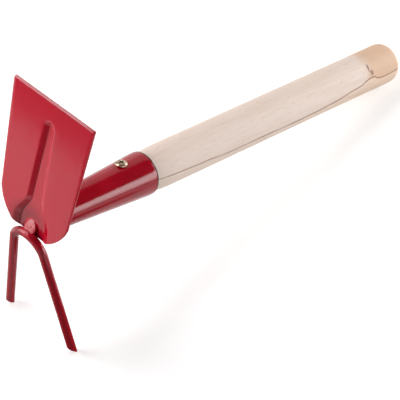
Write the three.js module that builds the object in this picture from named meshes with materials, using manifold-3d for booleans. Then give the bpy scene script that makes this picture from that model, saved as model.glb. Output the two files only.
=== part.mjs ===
// Double hoe: a pressed trapezoid blade above a two-tine fork, both welded to the nose of a rolled conical
// socket that holds a turned wooden handle with one screw.
// Millimetres, +Z up. The hoe stands on its two tine tips and on the butt of its handle.
// The pieces are made in the tool's own frame: X across the blade, Y from the blade along the handle,
// Z from the socket's axis up to the cutting edge. The tool is tilted into its standing pose at the end.
import * as THREE from "three";
import { mergeVertices } from "three/addons/utils/BufferGeometryUtils.js";
import Module from "manifold-3d";

const wasm = await Module();
wasm.setup();

const { degToRad, lerp, smoothstep } = THREE.MathUtils;

// Shared sizes
const clearance = 0.3; // between pieces that touch
const overrun = 5; // how far a cutter reaches past what it cuts
const roundSides = 40; // sides of the handle and the socket

// Blade: a trapezoid with a round bottom, blanked from sheet and pressed
const sheet = 2; // thickness
const edgeHalfWidth = 36.4; // at the cutting edge
const edgeHeight = 93.6; // above the socket's axis, where the cutting edge's bevel starts
const edgeRise = 1; // height of that bevel
const edgeLand = 0.8; // thickness that the bevel leaves
const cornerHalfWidth = 30.7; // where the straight sides end
const cornerHeight = 14.1;
const bottomRadius = 31.7; // of the arc that joins the two corners
const bladeFoot = -7.4; // height of its bottom edge, which is cut straight behind the fork
const bladeLean = degToRad(1.6); // of the cutting edge towards the handle
const bottomSteps = 36;

// Channel: pressed backwards along the middle of the blade, flaring at the socket's nose
const channelTop = 81; // height of its closed upper end
const channelTopHalfWidth = 4.4;
const channelNeckHalfWidth = 7.3; // just above the flare
const channelDepth = 2;
const channelWallRun = 2.5; // width of its sloped wall
const flareTop = 20; // height where the flare starts
const flareBottom = -3; // height where it is at its widest
const flareHalfWidth = 15.6;
const flareDepth = 2.5;
const flareWallRun = 3.2;
const leastFloorShare = 0.2; // of the channel's half width, at its rounded end
const endHalfWidthShare = 0.15; // of the upper half width, where the rounded end closes
const wallRunShares = [0, 0.2, 0.8, 1]; // along the wall's run, from rim to floor
const wallDepthShares = [0, 0.1, 0.9, 1]; // of the depth, at those places
const flareRows = 12;
const channelRows = 3;
const endRows = 7;
const slotHalfWidth = 3.4; // of the slot that opens the floor below the socket's nose

// Socket: sheet rolled into a cone, drawn down to a closed nose
const socketMouth = 103.5; // distance from the blade's face
const socketRadius = 15.8; // outside, at the mouth before it is rolled in
const socketShoulder = 26; // where the cone ends and the neck begins
const socketShoulderRadius = 11.3;
const socketWall = 1.5;
const lipLength = 4; // of the mouth that is rolled in onto the wood
const lipDrop = 0.35;
const noseFront = 1.8; // distance of the nose's face behind the blade's face
const noseLength = 9; // distance where the nose starts to widen into the neck
const noseHalfWidth = 4.65;
const noseHalfHeight = 5.9;
const noseDrop = 2.7; // of the nose's centre below the socket's axis
const noseRounding = 1.2;
const noseRoundSteps = 4;
const neckSteps = 9;
const lipSteps = 5;
const seamGap = 0.8; // between the rolled sheet's edges, along the underside

// Fork: one round rod bent into an arch with two splayed tines
const rodRadius = 3;
const archRadius = 14.3; // of the rod's centre line
const tineLength = 88.6; // straight part of each tine
const tineSplay = degToRad(11.4);
const forkLean = degToRad(18.1); // of the tine tips towards the handle
const crownForward = 1.27; // of the arch's top in front of the blade's face
const crownDrop = 7.14; // of the arch's top below the socket's axis
const tipBevel = degToRad(44); // of the cut that sharpens each tine, on its front side
const rodSides = 16;
const rodSteps = 84;

// Handle: turned, tapered into the socket, with a domed butt
const handleRadius = 15;
const gripLength = 260.7; // from the socket's mouth to the butt
const swellLength = 17; // over which the wood widens beyond the mouth
const buttDome = 8.8; // length of the domed end
const domeFullness = 0.85; // below 1, the dome is fuller than an ellipse
const endGap = 2; // between the wood's front end and the socket's shoulder
const endChamfer = 1.5;
const swellSteps = 5;
const domeSteps = 8;

// Handle screw: pan head with a cross recess, driven through the top of the socket
const screwDistance = 82; // from the blade's face
const screwTurn = degToRad(8); // off the top of the socket
const headRadius = 4.2;
const headHeight = 1.9;
const headEdge = 1; // height of the head's upright edge
const shankRadius = 1.9;
const screwLength = 20;
const screwPoint = 5; // length of its tapered point
const recessLength = 4.6;
const recessWidth = 1.2;
const recessDepth = 1.3;
const headSteps = 5;
const screwSides = 20;

// Weld beads
const bladeBeadRadius = 2.1; // round the nose, on the back of the blade
const bladeBeadFoot = 1.5; // how far its lower ends reach below the nose's centre
const frontBeadHalfWidth = 3.9; // between the rod's top and the nose's face
const frontBeadHalfHeight = 3.4;
const frontBeadHalfDepth = 1.7;
const frontBeadTilt = degToRad(35);
const rearBeadHalfWidth = 5.5; // behind the rod, under the nose
const rearBeadRadius = 2.6;
const beadSteps = 16;

// Finishes
const redPaint = new THREE.MeshStandardMaterial({ color: "#b3202f", roughness: 0.3, metalness: 0 });
const paleWood = new THREE.MeshStandardMaterial({ color: "#e2cdbb", roughness: 0.6, metalness: 0 });
const zincYellow = new THREE.MeshStandardMaterial({ color: "#b59a67", roughness: 0.35, metalness: 1 });

// A closed geometry as a solid that can be joined and cut
function solidOf(geometry) {
  const bare = geometry.index ? geometry.toNonIndexed() : geometry.clone();
  for (const name of Object.keys(bare.attributes)) {
    if (name !== "position") {
      bare.deleteAttribute(name);
    }
  }
  const merged = mergeVertices(bare);
  return new wasm.Manifold(
    new wasm.Mesh({
      numProp: 3,
      vertProperties: merged.attributes.position.array,
      triVerts: new Uint32Array(merged.index.array),
    }),
  );
}

// A solid as a named mesh
function meshOf(name, solid, material) {
  const made = solid.getMesh();
  const geometry = new THREE.BufferGeometry();
  geometry.setAttribute("position", new THREE.BufferAttribute(made.vertProperties, made.numProp));
  geometry.setIndex(new THREE.BufferAttribute(made.triVerts, 1));
  const flat = geometry.toNonIndexed();
  flat.computeVertexNormals();
  const mesh = new THREE.Mesh(flat, material);
  mesh.name = name;
  return mesh;
}

// A closed skin through rings of points, with a flat cap on the first and the last ring
function loft(rings) {
  const sides = rings[0].length;
  const points = rings.flat();
  const triangles = [];
  const at = (ring, side) => ring * sides + (side % sides);
  for (let ring = 0; ring + 1 < rings.length; ring += 1) {
    for (let side = 0; side < sides; side += 1) {
      triangles.push(at(ring, side), at(ring, side + 1), at(ring + 1, side + 1));
      triangles.push(at(ring, side), at(ring + 1, side + 1), at(ring + 1, side));
    }
  }
  const last = rings.length - 1;
  for (let side = 1; side + 1 < sides; side += 1) {
    triangles.push(at(0, 0), at(0, side + 1), at(0, side));
    triangles.push(at(last, 0), at(last, side), at(last, side + 1));
  }
  const geometry = new THREE.BufferGeometry().setFromPoints(points);
  geometry.setIndex(triangles);
  return geometry;
}

// A shape drawn in X and Z, made thick along Y on both sides of the face
function prism(shape, halfDepth, curveSegments) {
  const geometry = new THREE.ExtrudeGeometry(shape, {
    depth: 2 * halfDepth,
    bevelEnabled: false,
    curveSegments,
  });
  geometry.rotateX(Math.PI / 2);
  geometry.translate(0, halfDepth, 0);
  return geometry;
}

// A shape drawn in Y and Z, made wide along X on both sides of the middle
function crossBar(shape, halfWidth) {
  const geometry = new THREE.ExtrudeGeometry(shape, { depth: 2 * halfWidth, bevelEnabled: false });
  geometry.translate(0, 0, -halfWidth);
  geometry.rotateY(Math.PI / 2);
  geometry.rotateX(Math.PI / 2);
  return geometry;
}

// The channel's size at one height of the blade
const endCentre = channelTop - channelTopHalfWidth;
function channelAt(height) {
  const flare = 1 - smoothstep(height, flareBottom, flareTop);
  const along = THREE.MathUtils.clamp((height - flareTop) / (endCentre - flareTop), 0, 1);
  const plainHalfWidth = lerp(channelNeckHalfWidth, channelTopHalfWidth, along);
  const roundShare = Math.min(Math.max(height - endCentre, 0) / channelTopHalfWidth, 1);
  const endShare = Math.max(Math.sqrt(1 - roundShare * roundShare), endHalfWidthShare);
  const halfWidth = lerp(plainHalfWidth, flareHalfWidth, flare) * endShare;
  const run = lerp(channelWallRun, flareWallRun, flare);
  const floorHalfWidth = Math.max(halfWidth - run, halfWidth * leastFloorShare);
  const rise = smoothstep(channelTop - height, 0, run);
  return { halfWidth, floorHalfWidth, depth: lerp(channelDepth, flareDepth, flare) * rise };
}

// Heights from one value to another, without the last
function heights(from, to, count) {
  return Array.from({ length: count }, (_, step) => lerp(from, to, step / count));
}

// The sheet after pressing: rows of points across the blade, front and back, closed at the rim
function pressedSheet() {
  const halfWidth = edgeHalfWidth + overrun;
  const top = edgeHeight + edgeRise + overrun;
  const bottom = cornerHeight - bottomRadius - overrun;
  const rows = [
    bottom,
    ...heights(flareBottom, flareTop, flareRows),
    ...heights(flareTop, endCentre, channelRows),
    ...heights(0, Math.PI / 2, endRows).map((angle) => endCentre + channelTopHalfWidth * Math.sin(angle)),
    channelTop,
    top,
  ];
  const front = rows.map((height) => {
    const channel = channelAt(height);
    const wall = wallRunShares.map((share, step) => {
      const across = lerp(channel.halfWidth, channel.floorHalfWidth, share);
      return [across, channel.depth * wallDepthShares[step]];
    });
    const left = [[halfWidth, 0], ...wall].map(([across, depth]) => [-across, depth]);
    const right = [...wall].reverse().concat([[halfWidth, 0]]);
    return [...left, ...right].map(([across, depth]) => new THREE.Vector3(across, depth, height));
  });
  // Each row becomes a ring: along the front, then back along the rear face
  const thickness = new THREE.Vector3(0, sheet, 0);
  const rings = front.map((row) => {
    const rear = row.map((point) => point.clone().add(thickness)).reverse();
    return [...row, ...rear];
  });
  return capped(rings, front[0].length);
}

// A loft whose rings are thin strips: each end is closed by quads between its front and its rear points
function capped(rings, frontCount) {
  const geometry = loft(rings);
  const sides = rings[0].length;
  const last = rings.length - 1;
  const body = Array.from(geometry.index.array).slice(0, last * sides * 6);
  const ends = [];
  for (let step = 0; step + 1 < frontCount; step += 1) {
    const rear = sides - 1 - step;
    const high = last * sides;
    ends.push(step, rear, step + 1, step + 1, rear, rear - 1);
    ends.push(high + step, high + step + 1, high + rear, high + step + 1, high + rear - 1, high + rear);
  }
  geometry.setIndex([...body, ...ends]);
  return geometry;
}

// The blank's outline: straight sides down to the corners, and an arc between them
function blankOutline() {
  const top = edgeHeight + edgeRise;
  const sideSlope = (edgeHalfWidth - cornerHalfWidth) / (edgeHeight - cornerHeight);
  const topHalfWidth = edgeHalfWidth + sideSlope * edgeRise;
  const arcHeight = cornerHeight + Math.sqrt(bottomRadius ** 2 - cornerHalfWidth ** 2);
  const cornerAngle = Math.atan2(cornerHeight - arcHeight, cornerHalfWidth);
  const footAngle = Math.asin((bladeFoot - arcHeight) / bottomRadius);
  const outline = new THREE.Shape();
  outline.moveTo(-topHalfWidth, top);
  outline.lineTo(-cornerHalfWidth, cornerHeight);
  outline.absarc(0, arcHeight, bottomRadius, -Math.PI - cornerAngle, -Math.PI - footAngle, false);
  outline.absarc(0, arcHeight, bottomRadius, footAngle, cornerAngle, false);
  outline.lineTo(topHalfWidth, top);
  outline.closePath();
  return outline;
}

// The slot below the socket's nose
function footSlot() {
  const halfDepth = sheet + flareDepth + overrun;
  const height = overrun - bladeFoot - noseDrop;
  const slot = new THREE.BoxGeometry(2 * slotHalfWidth, 2 * halfDepth, height);
  slot.translate(0, 0, -noseDrop - height / 2);
  return slot;
}

// What grinding takes off the cutting edge
function edgeGrind() {
  const slope = edgeRise / (sheet - edgeLand);
  const reach = sheet + overrun;
  const outline = new THREE.Shape();
  outline.moveTo(-overrun, edgeHeight - overrun * slope);
  outline.lineTo(reach, edgeHeight + reach * slope);
  outline.lineTo(-overrun, edgeHeight + reach * slope);
  outline.closePath();
  return crossBar(outline, edgeHalfWidth + overrun);
}

// The blade before its neighbours are cleared
function bladeBlank() {
  const halfDepth = sheet + flareDepth + overrun;
  const made = solidOf(pressedSheet())
    .intersect(solidOf(prism(blankOutline(), halfDepth, bottomSteps)))
    .subtract(solidOf(footSlot()))
    .subtract(solidOf(edgeGrind()));
  return made.rotate([-THREE.MathUtils.radToDeg(bladeLean), 0, 0]);
}

// The socket's outside at one distance from the blade's face: a circle on the cone, an oval at the nose
function socketSection(distance, grow) {
  const slope = (socketRadius - socketShoulderRadius) / (socketMouth - socketShoulder);
  const rolled = Math.max(distance - socketMouth + lipLength, 0) / lipLength;
  const radius = socketRadius - slope * (socketMouth - distance) - lipDrop * rolled * rolled;
  const widening = smoothstep(distance, noseLength, socketShoulder);
  return {
    halfWidth: lerp(noseHalfWidth, radius, widening) + grow,
    halfHeight: lerp(noseHalfHeight, radius, widening) + grow,
    centre: lerp(-noseDrop, 0, widening),
  };
}

// A ring of points round a section
function sectionRing(distance, section, sizeShare) {
  return Array.from({ length: roundSides }, (_, side) => {
    const angle = (2 * Math.PI * side) / roundSides;
    return new THREE.Vector3(
      section.halfWidth * sizeShare * Math.sin(angle),
      distance,
      section.centre + section.halfHeight * sizeShare * Math.cos(angle),
    );
  });
}

// The socket's outside as a closed skin, made larger all round by grow
function socketSkin(grow) {
  const rings = [];
  const front = noseFront - grow;
  for (let step = 0; step < noseRoundSteps; step += 1) {
    const angle = (Math.PI / 2) * ((step + 1) / (noseRoundSteps + 1));
    const section = socketSection(noseFront, grow);
    const inset = noseRounding * (1 - Math.sin(angle));
    const sizeShare = 1 - inset / section.halfWidth;
    rings.push(sectionRing(front + noseRounding * (1 - Math.cos(angle)), section, sizeShare));
  }
  const bends = [
    noseFront + noseRounding,
    ...heights(noseLength, socketShoulder, neckSteps),
    socketShoulder,
    ...heights(socketMouth - lipLength, socketMouth, lipSteps),
    socketMouth,
  ];
  for (const distance of bends) {
    rings.push(sectionRing(distance, socketSection(distance, grow), 1));
  }
  return loft(rings);
}

// The socket's bore at one distance, and the wood's radius inside it
const boreFront = socketShoulder + socketWall;
const woodFront = boreFront + endGap;
const boreRadius = (distance) => socketSection(distance, 0).halfWidth - socketWall;
const seatRadius = (distance) => boreRadius(distance) - clearance;

// The hollow that the wood is driven into
function socketBore() {
  const distances = [boreFront, ...heights(socketMouth - lipLength, socketMouth, lipSteps), socketMouth];
  const rings = distances.map((distance) => {
    const radius = boreRadius(distance);
    return sectionRing(distance, { halfWidth: radius, halfHeight: radius, centre: 0 }, 1);
  });
  const mouthRing = rings[rings.length - 1];
  const beyond = new THREE.Vector3(0, overrun, 0);
  rings.push(mouthRing.map((point) => point.clone().add(beyond)));
  return loft(rings);
}

// The gap between the rolled sheet's two edges
function seamSlot() {
  const start = boreFront + socketWall;
  const length = socketMouth + overrun - start;
  const height = socketRadius + overrun;
  const slot = new THREE.BoxGeometry(seamGap, length, height);
  slot.translate(0, start + length / 2, -height / 2);
  return slot;
}

// The rod's centre line, drawn in its own plane: up one tine, over the arch and down the other
class ForkLine extends THREE.Curve {
  getPoint(share) {
    const halfTurn = Math.PI / 2 - tineSplay;
    const halfArch = archRadius * halfTurn;
    const along = (2 * share - 1) * (halfArch + tineLength);
    const side = Math.sign(along);
    const onArch = Math.min(Math.abs(along), halfArch);
    const onTine = Math.abs(along) - onArch;
    const angle = onArch / archRadius;
    return new THREE.Vector3(
      side * (archRadius * Math.sin(angle) + onTine * Math.sin(tineSplay)),
      0,
      -archRadius * (1 - Math.cos(angle)) - onTine * Math.cos(tineSplay),
    );
  }
}

// Height of the tine tips in the rod's own plane: their back edges, all of the rod's end being cut
const tineEnd = new ForkLine().getPoint(1);
const tipHeight = tineEnd.z + rodRadius * Math.sin(tineSplay);

// From the rod's own plane to its place on the tool
function placeFork(geometry) {
  geometry.rotateX(forkLean);
  geometry.translate(0, -crownForward, -crownDrop);
  return geometry;
}

// The rod, made thicker by grow
function forkRod(grow) {
  const section = new THREE.Shape().absarc(0, 0, rodRadius + grow, 0, 2 * Math.PI, false);
  const rod = new THREE.ExtrudeGeometry(section, {
    steps: rodSteps,
    curveSegments: rodSides / 2,
    extrudePath: new ForkLine(),
  });
  return placeFork(rod);
}

// What the slanting cut takes off both tine ends
function tipCutter() {
  const slope = Math.tan(tipBevel);
  const behind = rodRadius + overrun;
  const before = -rodRadius - overrun;
  const outline = new THREE.Shape();
  outline.moveTo(before, tipHeight + (rodRadius - before) * slope);
  outline.lineTo(before, tipHeight - overrun * slope);
  outline.lineTo(behind, tipHeight - overrun * slope);
  outline.closePath();
  return placeFork(crossBar(outline, tineEnd.x + overrun));
}

// The butt's dome, from the full radius to the handle's end on the axis
const buttEnd = socketMouth + gripLength;
const dome = Array.from({ length: domeSteps + 1 }, (_, step) => {
  const angle = (Math.PI / 2) * (step / domeSteps);
  const radius = step === domeSteps ? 0 : handleRadius * Math.cos(angle) ** domeFullness;
  return new THREE.Vector2(radius, buttEnd - buttDome * (1 - Math.sin(angle) ** domeFullness));
});

// The handle: turned to a taper for the socket, swelling beyond the mouth, domed at the butt
function handleTurning() {
  const profile = [
    new THREE.Vector2(0, woodFront),
    new THREE.Vector2(seatRadius(woodFront) - endChamfer, woodFront),
    new THREE.Vector2(seatRadius(woodFront + endChamfer), woodFront + endChamfer),
  ];
  for (const distance of heights(socketMouth - lipLength, socketMouth, lipSteps)) {
    profile.push(new THREE.Vector2(seatRadius(distance), distance));
  }
  for (let step = 0; step <= swellSteps; step += 1) {
    const share = step / swellSteps;
    const radius = lerp(seatRadius(socketMouth), handleRadius, smoothstep(share, -1, 1) * 2 - 1);
    profile.push(new THREE.Vector2(radius, socketMouth + swellLength * share));
  }
  return new THREE.LatheGeometry([...profile, ...dome], roundSides);
}

// From the screw's own frame, with its head up along Y and its seat at zero, to its place on the socket
function placeScrew(geometry) {
  const seat = socketSection(screwDistance, 0).halfHeight + clearance;
  geometry.rotateX(Math.PI / 2);
  geometry.translate(0, screwDistance, seat);
  geometry.rotateY(-screwTurn);
  return geometry;
}

// The screw: point, shank and rounded pan head
function screwTurning() {
  const profile = [
    new THREE.Vector2(0, -screwLength),
    new THREE.Vector2(shankRadius, screwPoint - screwLength),
    new THREE.Vector2(shankRadius, 0),
    new THREE.Vector2(headRadius, 0),
  ];
  for (let step = 0; step <= headSteps; step += 1) {
    const angle = (Math.PI / 2) * (step / headSteps);
    const height = headEdge + (headHeight - headEdge) * Math.sin(angle);
    profile.push(new THREE.Vector2(step === headSteps ? 0 : headRadius * Math.cos(angle), height));
  }
  return placeScrew(new THREE.LatheGeometry(profile, screwSides));
}

// One arm of the cross recess in the head
function recessArm(turn) {
  const height = recessDepth + overrun;
  const arm = new THREE.BoxGeometry(recessLength, height, recessWidth);
  arm.rotateY(turn);
  arm.translate(0, headHeight - recessDepth + height / 2, 0);
  return placeScrew(arm);
}

// The hole for the screw, through the socket's wall and down into the wood
function screwHole() {
  const depth = screwLength + clearance;
  const radius = shankRadius + clearance;
  const hole = new THREE.CylinderGeometry(radius, radius, depth, screwSides);
  hole.translate(0, -depth / 2, 0);
  return placeScrew(hole);
}

// A ball stretched to three half sizes
function bead(halfWidth, halfDepth, halfHeight) {
  const ball = new THREE.SphereGeometry(1, beadSteps, beadSteps / 2);
  ball.scale(halfWidth, halfDepth, halfHeight);
  return ball;
}

// The weld in front: it fills the corner between the rod's top and the nose's face
function frontBead() {
  const ball = bead(frontBeadHalfWidth, frontBeadHalfDepth, frontBeadHalfHeight);
  ball.rotateX(-frontBeadTilt);
  ball.translate(0, (noseFront - crownForward) / 2, rodRadius - crownDrop);
  return ball;
}

// The weld behind: it fills the corner between the rod's back and the nose's underside
function rearBead() {
  const ball = bead(rearBeadHalfWidth, rearBeadRadius, rearBeadRadius);
  ball.translate(0, rodRadius, -noseDrop - noseHalfHeight - clearance);
  return ball;
}

// The weld round the nose on the back of the blade, open at the bottom where the notch is
function bladeBead() {
  const seat = sheet + flareDepth + clearance;
  const ringRadius = noseHalfWidth + bladeBeadRadius / 2;
  const ring = new THREE.TorusGeometry(ringRadius, bladeBeadRadius, beadSteps / 2, 2 * beadSteps);
  ring.rotateX(Math.PI / 2);
  ring.scale(1, 1, (noseHalfHeight + bladeBeadRadius / 2) / ringRadius);
  ring.translate(0, seat + bladeBeadRadius / 2, -noseDrop);
  return ring;
}

// What is left away below the ends of the weld on the blade's back
function belowBladeBead() {
  const size = 2 * (noseHalfHeight + bladeBeadRadius + overrun);
  const block = new THREE.BoxGeometry(size, size, size);
  block.translate(0, 0, -noseDrop - bladeBeadFoot - size / 2);
  return block;
}

// The solids, each cut clear of the neighbours it touches
const clearedRod = solidOf(forkRod(clearance));
const clearedNose = solidOf(socketSkin(clearance));
const screwBore = solidOf(screwHole());
const blade = bladeBlank().subtract(clearedNose).subtract(clearedRod);
const socket = solidOf(socketSkin(0))
  .subtract(solidOf(socketBore()))
  .subtract(solidOf(seamSlot()))
  .subtract(screwBore)
  .subtract(clearedRod);
const fork = solidOf(forkRod(0)).subtract(solidOf(tipCutter()));
const handle = solidOf(handleTurning()).subtract(screwBore);
const screw = solidOf(screwTurning())
  .subtract(solidOf(recessArm(0)))
  .subtract(solidOf(recessArm(Math.PI / 2)));

// The blade and the room that a bead keeps in front of it and behind it
const clearedBlade = blade
  .add(blade.translate([0, -clearance, 0]))
  .add(blade.translate([0, clearance, 0]));
const biggest = (one, other) => (one.volume() > other.volume() ? one : other);
function clearedBead(solid) {
  const cut = solid.subtract(clearedRod).subtract(clearedNose).subtract(clearedBlade);
  return cut.decompose().reduce(biggest);
}
const forkWeldFront = clearedBead(solidOf(frontBead()));
const forkWeldRear = clearedBead(solidOf(rearBead()));
const bladeWeld = clearedBead(solidOf(bladeBead()).subtract(solidOf(belowBladeBead())));

// The hoe, still level
const hoe = new THREE.Group();
hoe.add(
  meshOf("blade", blade, redPaint),
  meshOf("socket", socket, redPaint),
  meshOf("fork", fork, redPaint),
  meshOf("blade_weld", bladeWeld, redPaint),
  meshOf("fork_weld_front", forkWeldFront, redPaint),
  meshOf("fork_weld_rear", forkWeldRear, redPaint),
  meshOf("handle", handle, paleWood),
  meshOf("handle_screw", screw, zincYellow),
);

// How far the hoe tilts until the line under it touches both the tine tips and the domed butt
function standingTilt() {
  const tip = new THREE.Vector3(0, rodRadius, tipHeight);
  tip.applyAxisAngle(new THREE.Vector3(1, 0, 0), forkLean);
  tip.add(new THREE.Vector3(0, -crownForward, -crownDrop));
  return Math.min(...dome.map((point) => Math.atan2(-point.x - tip.z, point.y - tip.y)));
}

// Standing pose: tilted, then moved so that the origin is the middle of the space under it
hoe.rotation.x = -standingTilt();
hoe.updateMatrixWorld(true);
const bounds = new THREE.Box3().setFromObject(hoe, true);
const middle = bounds.getCenter(new THREE.Vector3());
hoe.position.set(-middle.x, -middle.y, -bounds.min.z);

const standingHoe = new THREE.Group();
standingHoe.add(hoe);

export default standingHoe;
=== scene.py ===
import math

import bmesh
import bpy
from mathutils import Matrix, Vector


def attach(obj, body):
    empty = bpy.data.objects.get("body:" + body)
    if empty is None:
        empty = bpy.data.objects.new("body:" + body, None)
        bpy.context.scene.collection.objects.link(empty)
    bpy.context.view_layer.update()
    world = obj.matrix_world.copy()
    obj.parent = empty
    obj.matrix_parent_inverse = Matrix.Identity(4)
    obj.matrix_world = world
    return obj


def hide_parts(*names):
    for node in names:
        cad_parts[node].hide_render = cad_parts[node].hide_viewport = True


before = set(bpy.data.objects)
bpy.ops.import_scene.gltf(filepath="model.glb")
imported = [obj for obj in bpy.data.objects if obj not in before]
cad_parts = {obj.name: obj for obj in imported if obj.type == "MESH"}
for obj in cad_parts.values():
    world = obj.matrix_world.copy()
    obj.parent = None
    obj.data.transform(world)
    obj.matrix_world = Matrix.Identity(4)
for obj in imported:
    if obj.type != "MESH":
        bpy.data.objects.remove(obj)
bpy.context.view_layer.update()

# Socket: a cone rolled from 1.5 mm steel sheet whose two edges meet along the underside. Its front is
# drawn down to a closed oval nose, which the blade and the fork are welded to. The welded head is
# dipped in red enamel as one.

# Every piece is drawn in millimetres along the hoe's own axis, which runs from the blade's face (zero)
# to the butt along Y. It is then stood on its tine tips and its butt, at the tilt and the place that
# the CAD model's own source works out
MM = 0.001
TILT = -0.25345002270624745
STANDS_AT = Vector((0, -173.82950310235253, 103.94821798696611)) * MM
STANDING = Matrix.Translation(STANDS_AT) @ Matrix.Rotation(TILT, 4, "X") @ Matrix.Scale(MM, 4)

SOCKET_MOUTH = 103.5  # from the blade's face, as all of these distances are
SOCKET_RADIUS = 15.8
SHOULDER = 26
SHOULDER_RADIUS = 11.3
SOCKET_WALL = 1.5
LIP_LENGTH = 4  # of the mouth that is rolled in onto the wood
LIP_DROP = 0.35
MOUTH_ROUNDING = 0.35
NOSE_FRONT = 1.8
NOSE_LENGTH = 9
NOSE_HALF_WIDTH = 4.65
NOSE_HALF_HEIGHT = 5.9
NOSE_DROP = 2.7  # of its centre below the socket's axis
NOSE_ROUNDING = 0.8
NOSE_TILT = math.radians(25)  # its flat front leans back from the fork up to the blade
NOSE_TILT_HEIGHT = 1.5  # where the lean leaves it in place
SEAM_GAP = 0.8  # between the rolled sheet's edges
BORE_FRONT = SHOULDER + SOCKET_WALL
SEAM_FRONT = BORE_FRONT + SOCKET_WALL
SOCKET_SIDES = 96
LIP_STEPS = 8
NECK_STEPS = 24
NOSE_ROUND_STEPS = 8


def linear(hex_colour):
    """An sRGB hex colour as the linear colour that the shaders take"""
    parts = [int(hex_colour[i:i + 2], 16) / 255 for i in (1, 3, 5)]
    return [c / 12.92 if c <= 0.04045 else ((c + 0.055) / 1.055) ** 2.4 for c in parts] + [1]


def add_node(tree, kind, inputs=None, **settings):
    """A shader node with its settings. Inputs are given by name or number, as a value or an output"""
    made = tree.nodes.new("ShaderNode" + kind)
    for name, value in settings.items():
        setattr(made, name, value)
    for name, value in (inputs or {}).items():
        if isinstance(value, bpy.types.NodeSocket):
            tree.links.new(value, made.inputs[name])
        else:
            made.inputs[name].default_value = value
    return made


def start_material(name):
    """A new node material: its tree, its surface shader, and the hoe's own millimetres as a vector"""
    material = bpy.data.materials.new(name)
    material.use_nodes = True
    tree = material.node_tree
    lies_at = Matrix.Rotation(-TILT, 3, "X") @ STANDS_AT
    own = add_node(tree, "Mapping", {
        "Vector": add_node(tree, "TexCoord").outputs["Object"],
        "Location": -lies_at / MM,
        "Rotation": (-TILT, 0, 0),
        "Scale": (1 / MM, 1 / MM, 1 / MM),
    })
    return material, tree, tree.nodes["Principled BSDF"], own.outputs["Vector"]


# Gloss red enamel, dipped and baked on steel: a smooth, wet-looking skin that mirrors the studio, with a
# faint orange peel. Painted shade makes it deeper red behind the blade and on the fork and darker near the
# welds, and it is duller over the welds
ENAMEL_RED = "#b81029"
ENAMEL_SHADED_DEEP = "#9e061c"  # painted shade: deeper red in patches behind the blade's face and on the fork, where the blade shades the socket and the tines get less light
ENAMEL_PAINTED_SHADE = "#6e0a16"  # painted shadow of the flare's left wall, near the welds
ENAMEL_CREASE_SHADE = "#4c020d"  # painted shade in the crease along the foot of the channel's left wall
MOUTH_LIP_SHADE = "#30060e"  # painted shade on the socket's last 1.3 mm at the mouth, over the rolled lip
PAINTED_SHADE_AT = (-5.0, 2.0, -3.0)  # the middle of the darkest part
NOSE_FACE_AT = (0.0, 1.0, -3.0)
FRONT_WELD_AT = (-4.5, -2.5, -5.0)
enamel, tree, shader, own = start_material("gloss_red_enamel")
apart = add_node(tree, "SeparateXYZ", {"Vector": own}).outputs
# Painted shade: deeper red in patches behind the blade's face and low down on the fork
shade_patches = add_node(tree, "TexNoise", {"Vector": own, "Scale": 1 / 30, "Detail": 2.0})
behind = add_node(tree, "MapRange", {"Value": apart["Y"], "From Min": 3.0, "From Max": 9.0})
below = add_node(tree, "MapRange", {"Value": apart["Z"], "From Min": -8.0, "From Max": -14.0})
deep_shade = add_node(tree, "Math", {0: behind.outputs[0], 1: below.outputs[0]}, operation="MAXIMUM")
deep_shade = add_node(tree, "Math", {0: deep_shade.outputs[0], 1: shade_patches.outputs["Fac"]}, operation="MULTIPLY")
deep_shade = add_node(tree, "MapRange", {"Value": deep_shade.outputs[0], "From Max": 0.5})
colour = add_node(tree, "Mix", {
    "Factor": deep_shade.outputs[0], 6: linear(ENAMEL_RED), 7: linear(ENAMEL_SHADED_DEEP),
}, data_type="RGBA")

# Painted shadow of the flare's left wall: darker within 20 mm of a point left of the nose, but not on the
# nose's own face
from_painted_shade = add_node(tree, "VectorMath", {0: own, 1: PAINTED_SHADE_AT}, operation="DISTANCE")
flare_shade = add_node(tree, "MapRange", {
    "Value": from_painted_shade.outputs["Value"], "From Min": 20.0, "From Max": 5.0, "To Max": 0.8,
})
from_face = add_node(tree, "VectorMath", {0: own, 1: NOSE_FACE_AT}, operation="DISTANCE")
off_face = add_node(tree, "MapRange", {"Value": from_face.outputs["Value"], "From Min": 6.0, "From Max": 8.0})
flare_shade = add_node(tree, "Math", {0: flare_shade.outputs[0], 1: off_face.outputs[0]}, operation="MULTIPLY")

# The blade's mesh says where the foot of its channel's left wall is, and painted shade darkens that crease
wall_foot = add_node(tree, "Attribute", attribute_name="wall_foot")
crease_shade = add_node(tree, "MapRange", {
    "Value": wall_foot.outputs["Fac"], "From Min": 0.1, "From Max": 0.8, "To Max": 0.75,
}, interpolation_type="SMOOTHSTEP")
# Painted shade on the socket's last 1.3 mm, over the rolled lip at the mouth
mouth_lip_shade = add_node(tree, "MapRange", {
    "Value": apart["Y"], "From Min": SOCKET_MOUTH - 1.3, "From Max": SOCKET_MOUTH - 1.1,
})
for amount, darker in ((flare_shade, ENAMEL_PAINTED_SHADE), (crease_shade, ENAMEL_CREASE_SHADE), (mouth_lip_shade, MOUTH_LIP_SHADE)):
    colour = add_node(tree, "Mix", {
        "Factor": amount.outputs[0], 6: colour.outputs[2], 7: linear(darker),
    }, data_type="RGBA")

# Glossy all over, and duller over the front weld, in the crease of the channel's left wall and at the mouth's
# lip
from_weld = add_node(tree, "VectorMath", {0: own, 1: FRONT_WELD_AT}, operation="DISTANCE")
dull = add_node(tree, "MapRange", {
    "Value": from_weld.outputs["Value"], "From Min": 9.0, "From Max": 5.0, "To Min": 0.13, "To Max": 0.3,
})
for duller in (mouth_lip_shade, crease_shade):
    dull = add_node(tree, "Math", {0: dull.outputs[0], 1: duller.outputs[0]}, operation="MAXIMUM")

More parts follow.
